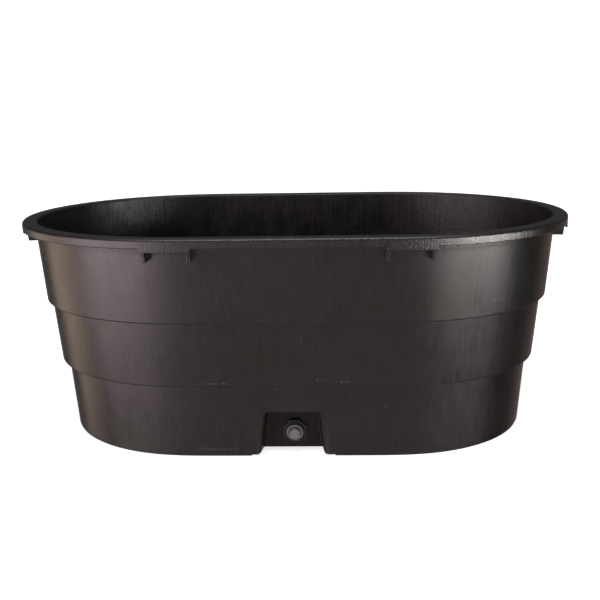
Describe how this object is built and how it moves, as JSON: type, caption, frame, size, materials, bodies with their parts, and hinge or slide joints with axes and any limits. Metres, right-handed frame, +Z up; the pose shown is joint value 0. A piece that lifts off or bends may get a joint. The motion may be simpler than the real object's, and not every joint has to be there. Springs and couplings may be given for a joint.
{
  "type": "livestock water trough",
  "caption": "Oval stepped plastic stock tank with a rolled rim, hand grips under it, and a recessed screw-in drain plug.",
  "frame": {"origin": "on the floor, under the middle of the trough", "axes": "+X along the trough, -Y the side with the drain, +Z up"},
  "size_m": [1.6, 0.915, 0.635],
  "materials": {
    "tank_plastic": "satin brown-black, slightly scuffed",
    "fitting_plastic": "satin dark grey",
    "plug_plastic": "satin light grey",
    "seal_rubber": "matt black"
  },
  "bodies": {
    "tank": {"tank_shell": "tank_plastic", "bulkhead_body": "fitting_plastic", "flange_gasket": "seal_rubber", "slip_washer": "fitting_plastic", "lock_nut": "fitting_plastic"},
    "seal": {"plug_seal": "seal_rubber"},
    "plug": {"drain_plug": "plug_plastic"}
  },
  "joints": [
    {"name": "plug_travel", "type": "slide", "parent": "tank", "child": "seal", "axis": [0, -1, 0], "range_m": [0, 0.0199]},
    {"name": "plug_turn", "type": "hinge", "parent": "seal", "child": "plug", "pos_m": [0.0045, -0.33, 0.065], "axis": [0, -1, 0], "range_deg": [0, 3240]}
  ],
  "couplings": [
    {"joint": "plug_travel", "follows": "plug_turn", "m_per_rad": 0.00035153}
  ]
}
